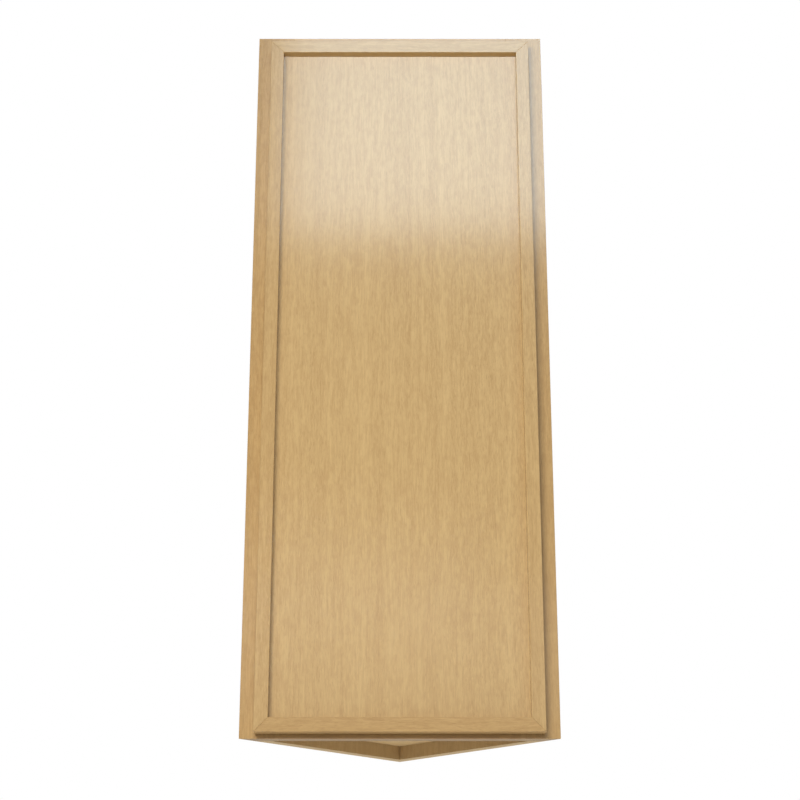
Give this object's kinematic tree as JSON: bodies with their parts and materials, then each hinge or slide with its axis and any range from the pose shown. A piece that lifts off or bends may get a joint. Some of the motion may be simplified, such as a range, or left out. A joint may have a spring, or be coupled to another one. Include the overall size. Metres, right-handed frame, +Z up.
{
  "type": "wall cabinet",
  "caption": "Triangular angled end wall cabinet in oak with a diagonal face frame, a tall overlay door with a recessed panel and loose shelves.",
  "frame": {"origin": "bottom end of the vertical edge where the two legs' outer faces meet at the back corner", "axes": "+Z up; +Y backwards, from the door through the back corner; +X to the right of a person facing the door; the two outer leg faces stand at 45 degrees to X and Y"},
  "size_m": [0.431, 0.237, 1.0668],
  "materials": {
    "oak": "satin clear coat over light oak, fine straight grain",
    "birch": "satin clear coat over birch plywood, plies showing on the edges",
    "nickel": "nickel-plated steel, satin",
    "zinc": "cast zinc, nickel-plated, matt",
    "screw_steel": "zinc-plated steel",
    "bumper_rubber": "clear soft polyurethane"
  },
  "bodies": {
    "carcass": {"left_side_panel": "oak", "right_side_panel": "oak", "bottom_panel": "oak", "top_panel": "oak", "frame_left_stile": "oak", "frame_right_stile": "oak", "frame_bottom_rail": "oak", "frame_top_rail": "oak", "lower_hanging_rail_left": "birch", "upper_hanging_rail_left": "birch", "lower_hanging_rail_right": "birch", "upper_hanging_rail_right": "birch", "lower_shelf_pin_left_back": "nickel", "lower_shelf_pin_left_front": "nickel", "lower_shelf_pin_right_back": "nickel", "lower_shelf_pin_right_front": "nickel", "middle_shelf_pin_left_back": "nickel", "middle_shelf_pin_left_front": "nickel", "middle_shelf_pin_right_back": "nickel", "middle_shelf_pin_right_front": "nickel", "upper_shelf_pin_left_back": "nickel", "upper_shelf_pin_left_front": "nickel", "upper_shelf_pin_right_back": "nickel", "upper_shelf_pin_right_front": "nickel", "bottom_hinge_arm": "nickel", "bottom_hinge_plate": "nickel", "bottom_hinge_plate_screw": "screw_steel", "middle_hinge_arm": "nickel", "middle_hinge_plate": "nickel", "middle_hinge_plate_screw": "screw_steel", "top_hinge_arm": "nickel", "top_hinge_plate": "nickel", "top_hinge_plate_screw": "screw_steel"},
    "door": {"door_left_stile": "oak", "door_right_stile": "oak", "door_bottom_rail": "oak", "door_top_rail": "oak", "door_panel": "oak", "lower_bumper": "bumper_rubber", "upper_bumper": "bumper_rubber", "bottom_hinge_boss": "zinc", "bottom_hinge_pin": "nickel", "bottom_hinge_boss_screw_lower": "screw_steel", "bottom_hinge_boss_screw_upper": "screw_steel", "middle_hinge_boss": "zinc", "middle_hinge_pin": "nickel", "middle_hinge_boss_screw_lower": "screw_steel", "middle_hinge_boss_screw_upper": "screw_steel", "top_hinge_boss": "zinc", "top_hinge_pin": "nickel", "top_hinge_boss_screw_lower": "screw_steel", "top_hinge_boss_screw_upper": "screw_steel"},
    "lower_shelf": {"lower_shelf": "birch"},
    "middle_shelf": {"middle_shelf": "birch"},
    "upper_shelf": {"upper_shelf": "birch"}
  },
  "joints": [
    {"name": "door_hinge", "type": "hinge", "parent": "carcass", "child": "door", "pos_m": [-0.1893, -0.22343, 0.52807], "axis": [0, 0, -1], "range_deg": [0, 100]},
    {"name": "lower_shelf_lift", "type": "slide", "parent": "carcass", "child": "lower_shelf", "axis": [0, 0, 1], "range_m": [0, 0.05]},
    {"name": "middle_shelf_lift", "type": "slide", "parent": "carcass", "child": "middle_shelf", "axis": [0, 0, 1], "range_m": [0, 0.05]},
    {"name": "upper_shelf_lift", "type": "slide", "parent": "carcass", "child": "upper_shelf", "axis": [0, 0, 1], "range_m": [0, 0.05]}
  ]
}
